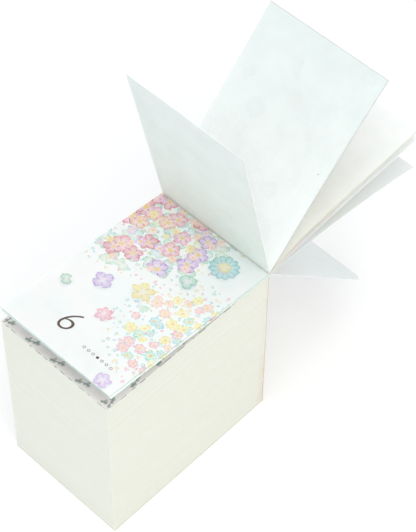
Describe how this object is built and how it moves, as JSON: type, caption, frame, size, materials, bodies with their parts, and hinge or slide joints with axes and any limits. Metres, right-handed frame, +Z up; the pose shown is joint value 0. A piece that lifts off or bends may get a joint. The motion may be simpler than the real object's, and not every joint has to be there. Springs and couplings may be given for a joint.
{
  "type": "tear-off day calendar",
  "caption": "Desk day calendar: a glued block of small paper leaves standing on a card base, with past leaves fanned back over the spine and the current leaf lifting at its free edge.",
  "frame": {"origin": "middle of the block's base, on the surface it stands on", "axes": "+X across the page to the reader's right, +Y from the page's free edge to its glued edge, +Z up"},
  "size_m": [0.0515, 0.1509, 0.1509],
  "materials": {
    "leaf_paper": "matte",
    "cover_stock": "matte",
    "backing_card": "matte",
    "padding_glue": "satin"
  },
  "bodies": {
    "block": {"backing_card": "backing_card", "glue_binding": "padding_glue", "leaves_january": "leaf_paper", "leaves_february": "leaf_paper", "leaves_march": "leaf_paper", "leaves_april": "leaf_paper", "leaves_may": "leaf_paper", "leaves_june": "leaf_paper", "leaves_july": "leaf_paper", "leaves_august": "leaf_paper", "leaves_september": "leaf_paper", "leaves_october": "leaf_paper", "leaves_november": "leaf_paper", "leaves_december": "leaf_paper"},
    "cover_leaf": {"cover_leaf": "cover_stock"},
    "leaf_01": {"leaf_01": "leaf_paper"},
    "leaf_02": {"leaf_02": "leaf_paper"},
    "leaf_03": {"leaf_03": "leaf_paper"},
    "leaf_04": {"leaf_04": "leaf_paper"},
    "leaf_05": {"leaf_05": "leaf_paper"},
    "leaf_06": {"leaf_06": "leaf_paper"},
    "leaf_07": {"leaf_07": "leaf_paper"}
  },
  "joints": [
    {"name": "cover_leaf_turn", "type": "hinge", "parent": "block", "child": "cover_leaf", "pos_m": [0, 0.03831, 0.07665], "axis": [-1, 0, 0], "range_deg": [-38.6, 43.4]},
    {"name": "leaf_01_turn", "type": "hinge", "parent": "block", "child": "leaf_01", "pos_m": [0, 0.03853, 0.07697], "axis": [-1, 0, 0], "range_deg": [-8, 38.6]},
    {"name": "leaf_02_turn", "type": "hinge", "parent": "block", "child": "leaf_02", "pos_m": [0, 0.03857, 0.0773], "axis": [-1, 0, 0], "range_deg": [-2.6, 8]},
    {"name": "leaf_03_turn", "type": "hinge", "parent": "block", "child": "leaf_03", "pos_m": [0, 0.03844, 0.0776], "axis": [-1, 0, 0], "range_deg": [-24.2, 2.6]},
    {"name": "leaf_04_turn", "type": "hinge", "parent": "block", "child": "leaf_04", "pos_m": [0, 0.03817, 0.07779], "axis": [-1, 0, 0], "range_deg": [-54.7, 24.2]},
    {"name": "leaf_05_turn", "type": "hinge", "parent": "block", "child": "leaf_05", "pos_m": [0, 0.03763, 0.07774], "axis": [-1, 0, 0], "range_deg": [-70.4, 54.7]},
    {"name": "leaf_06_turn", "type": "hinge", "parent": "block", "child": "leaf_06", "pos_m": [0, 0.03714, 0.07742], "axis": [-1, -0.0096, 0], "range_deg": [-0.1, 70.4]},
    {"name": "leaf_07_turn", "type": "hinge", "parent": "block", "child": "leaf_07", "pos_m": [0.00045, 0.03699, 0.07716], "axis": [-0.9999, -0.014, 0], "range_deg": [-6.2, 0.1]}
  ]
}
